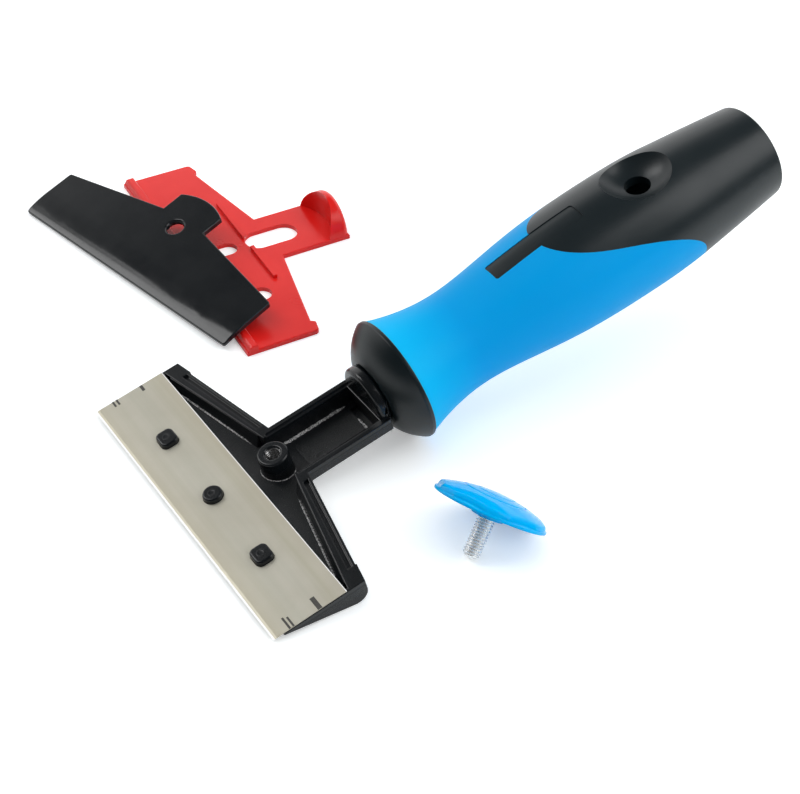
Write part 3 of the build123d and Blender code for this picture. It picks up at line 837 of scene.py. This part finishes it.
def wall_slope(name, side):
    """Sloping foot of the tub's rear wall along one arm."""
    points = []
    for step in range(WALL_SLOPE_STEPS + 1):
        y = WALL_SLOPE_START + (WALL_SLOPE_END - WALL_SLOPE_START) * step / WALL_SLOPE_STEPS
        foot = wall_x(y) - WALL_SLOPE_DEPTH
        buried = floor_height(foot) - WALL_OVERLAP
        section = (
            (foot, buried),
            (foot + WALL_FOOT_WIDTH, floor_height(foot) + WALL_FOOT_RISE),
            (wall_x(y) - WALL_TOP_WIDTH, WALL_TOP_FRONT_Z),
            (wall_x(y) + WALL_OVERLAP, WALL_TOP_REAR_Z),
            (wall_x(y) + WALL_OVERLAP, buried),
        )
        points += [(x, side * y, z) for x, z in section]
    faces = ring_faces(WALL_SLOPE_STEPS + 1, len(section)) + end_faces(len(points), len(section))
    add_mesh(name, points, faces, TOOL, MATERIALS["clamp_plate"], "tool", smooth=False)


def casting_details():
    """Flash beads in the tub, the stem and round the boss, and the sloping feet of the walls."""
    inset = WALL_SLOPE_DEPTH + WALL_OVERLAP
    for name, side, first, last in ARM_BEADS:
        start = (wall_x(first) - inset, side * first)
        end = (wall_x(last) - inset, side * last)
        flash_bead(f"flash_{name}_arm", line_path(start, end), ARM_BEAD, seed=2 + side)
        wall_slope(f"wall_{name}", side)
    flash_bead("flash_stem", line_path(*STEM_BEAD), STEM_BEAD_RADIUS, seed=4)
    flash_bead("flash_pit", line_path(*PIT_BEAD), PIT_BEAD_RADIUS, seed=5)
    flash_bead("flash_boss", arc_path(BOSS_X, BOSS_BEAD_RING, *BOSS_BEAD_ANGLES), BOSS_BEAD_RADIUS, seed=6)


def disc_mark(name, x, y, z, radius, rise):
    """Round raised ejector mark with a soft shoulder and a sunk middle."""
    profile = [
        (1.0, -0.4),
        (1.0, 0.35),
        (0.94, 0.8),
        (0.85, 1.0),
        (0.7, 1.0),
        (0.62, 0.8),
        (0.55, 0.35),
        (0.3, 0.3),
        (0.02, 0.3),
    ]
    points = []
    for share, height in profile:
        points += circle(radius * share, z + rise * height, MARK_SIDES, (x, y))
    faces = ring_faces(len(profile), MARK_SIDES) + end_faces(len(points), MARK_SIDES)
    add_mesh(name, points, faces, TOOL, MATERIALS["head_casting"], "tool")


def ejector_marks():
    """Ejector marks on the three pegs and on the stem's floor."""
    for index in (-1, 0, 1):
        peg_y = index * PEG_SPACING
        disc_mark(f"peg_mark_{index + 2}", 0, peg_y, PEG_TOP, PEG_MARK_RADIUS, PEG_MARK_RISE)
    x, y = STEM_MARK_PLACE
    disc_mark("stem_mark", x, y, floor_height(x), STEM_MARK_RADIUS, STEM_MARK_RISE)


def ticks():
    """Short etched register ticks at the blade's ends."""
    points = []
    faces = []
    for x, y, width, length in TICKS:
        start = len(points)
        for z in (BLADE_TOP - TICK_RISE, BLADE_TOP + TICK_RISE):
            for dx, dy in ((-1, -1), (1, -1), (1, 1), (-1, 1)):
                points.append((x + dx * width / 2, y + dy * length / 2, z))
        faces += [tuple(start + corner for corner in face) for face in BOX_FACES]
    add_mesh("blade_ticks", points, faces, TOOL, etched_mark(), "blade", smooth=False)


dress()
round_edges("head_casting", HEAD_ROUND)
round_edges("clamp_plate", CLAMP_ROUND)
round_edges("blade_guard", GUARD_ROUND, limited=True)
knob()
stud()
boss_thread()
casting_details()
ejector_marks()
ticks()


def camera():
    """Camera at the photograph's viewing angle."""
    data = bpy.data.cameras.new("camera")
    data.lens = CAMERA_LENS
    data.sensor_width = SENSOR_WIDTH
    data.clip_start = CLIP_START
    made = bpy.data.objects.new("camera", data)
    made.location = Vector(CAMERA_PLACE) * MM
    made.rotation_euler = Euler((math.radians(90 - CAMERA_DOWN), 0, math.radians(CAMERA_TURN)))
    bpy.context.scene.collection.objects.link(made)
    bpy.context.scene.camera = made


def tree_maths(tree, operation, first, second):
    """Math node of a floor or world tree, from sockets or constants."""
    made = tree.nodes.new("ShaderNodeMath")
    made.operation = operation
    for socket, value in zip(made.inputs, (first, second)):
        if isinstance(value, bpy.types.NodeSocket):
            tree.links.new(value, socket)
        else:
            socket.default_value = value
    return made.outputs[0]


def tree_window(tree, value, low, high):
    """Soft rise of a value from 0 at low to 1 at high."""
    made = tree.nodes.new("ShaderNodeMapRange")
    made.interpolation_type = "SMOOTHSTEP"
    made.inputs["From Min"].default_value = low
    made.inputs["From Max"].default_value = high
    tree.links.new(value, made.inputs["Value"])
    return made.outputs["Result"]


def floor():
    """Pale round floor with a faint glow that the camera and gloss see."""
    bpy.ops.mesh.primitive_circle_add(vertices=FLOOR_SIDES, radius=FLOOR_RADIUS, fill_type="NGON")
    made = bpy.context.object
    made.name = "floor"
    material = bpy.data.materials.new("floor_white")
    material.use_nodes = True
    tree = material.node_tree
    shader = tree.nodes["Principled BSDF"]
    shader.inputs["Base Color"].default_value = FLOOR_COLOUR
    shader.inputs["Roughness"].default_value = FLOOR_ROUGHNESS
    shader.inputs["Specular IOR Level"].default_value = FLOOR_SPECULAR
    shader.inputs["Emission Color"].default_value = (1, 1, 1, 1)
    path = tree.nodes.new("ShaderNodeLightPath")
    seen = tree_maths(tree, "MULTIPLY", path.outputs["Is Camera Ray"], FLOOR_LIFT)
    mirrored = tree_maths(tree, "MULTIPLY", path.outputs["Is Glossy Ray"], FLOOR_SHINE)
    tree.links.new(tree_maths(tree, "ADD", seen, mirrored), shader.inputs["Emission Strength"])
    made.data.materials.append(material)


def world():
    """Studio with a white backdrop behind the object and a dim room elsewhere."""
    made = bpy.data.worlds.new("studio")
    made.use_nodes = True
    tree = made.node_tree
    back = tree.nodes["Background"]
    back.inputs["Color"].default_value = WORLD_TINT
    coords = tree.nodes.new("ShaderNodeTexCoord").outputs["Generated"]
    parts = tree.nodes.new("ShaderNodeSeparateXYZ")
    tree.links.new(coords, parts.inputs[0])
    facing = tree.nodes.new("ShaderNodeVectorMath")
    facing.operation = "DOT_PRODUCT"
    turn = math.radians(BACKDROP_TURN)
    facing.inputs[1].default_value = (math.cos(turn), math.sin(turn), 0)
    tree.links.new(coords, facing.inputs[0])
    side = tree_window(tree, facing.outputs["Value"], BACKDROP_DIM, BACKDROP_FULL)
    top = math.sin(math.radians(BACKDROP_TOP))
    fade = math.sin(math.radians(BACKDROP_FADE))
    high = tree_maths(tree, "SUBTRACT", 1.0, tree_window(tree, parts.outputs["Z"], fade, top))
    wall = tree_maths(tree, "MULTIPLY", tree_maths(tree, "MULTIPLY", side, high), BACKDROP_LEVEL)
    level = tree_maths(tree, "ADD", wall, ROOM_LEVEL)
    seen = tree.nodes.new("ShaderNodeLightPath").outputs["Is Camera Ray"]
    tree.links.new(tree_maths(tree, "MAXIMUM", level, seen), back.inputs["Strength"])
    bpy.context.scene.world = made


def area_light(name, place, size, power, mirrored=True):
    """Rectangular lamp that faces the origin. Gloss doesn't show one that isn't mirrored."""
    data = bpy.data.lights.new(name, "AREA")
    data.shape = "RECTANGLE"
    data.size = size[0]
    data.size_y = size[1]
    data.energy = power
    made = bpy.data.objects.new(name, data)
    made.location = place
    made.rotation_euler = (-Vector(place)).to_track_quat("-Z", "Y").to_euler()
    made.visible_glossy = mirrored
    bpy.context.scene.collection.objects.link(made)


def softbox(name, direction, size, radiance, mirrored=True):
    """Lamp at a compass direction and a height angle, with its radiance in place of its power."""
    turn, rise = (math.radians(angle) for angle in direction)
    out = Vector((math.cos(rise) * math.cos(turn), math.cos(rise) * math.sin(turn), math.sin(rise)))
    power = radiance * math.pi * size[0] * size[1]
    area_light(name, out * SOFTBOX_DISTANCE, size, power, mirrored)


camera()
world()
floor()
area_light("overhead", OVERHEAD_PLACE, OVERHEAD_SIZE, OVERHEAD_POWER, mirrored=False)
softbox("key", KEY_DIRECTION, KEY_SIZE, KEY_RADIANCE)
softbox("side", SIDE_DIRECTION, SIDE_SIZE, SIDE_RADIANCE)
softbox("fill", FILL_DIRECTION, FILL_SIZE, FILL_RADIANCE, mirrored=False)

bpy.context.scene.view_settings.view_transform = "Standard"
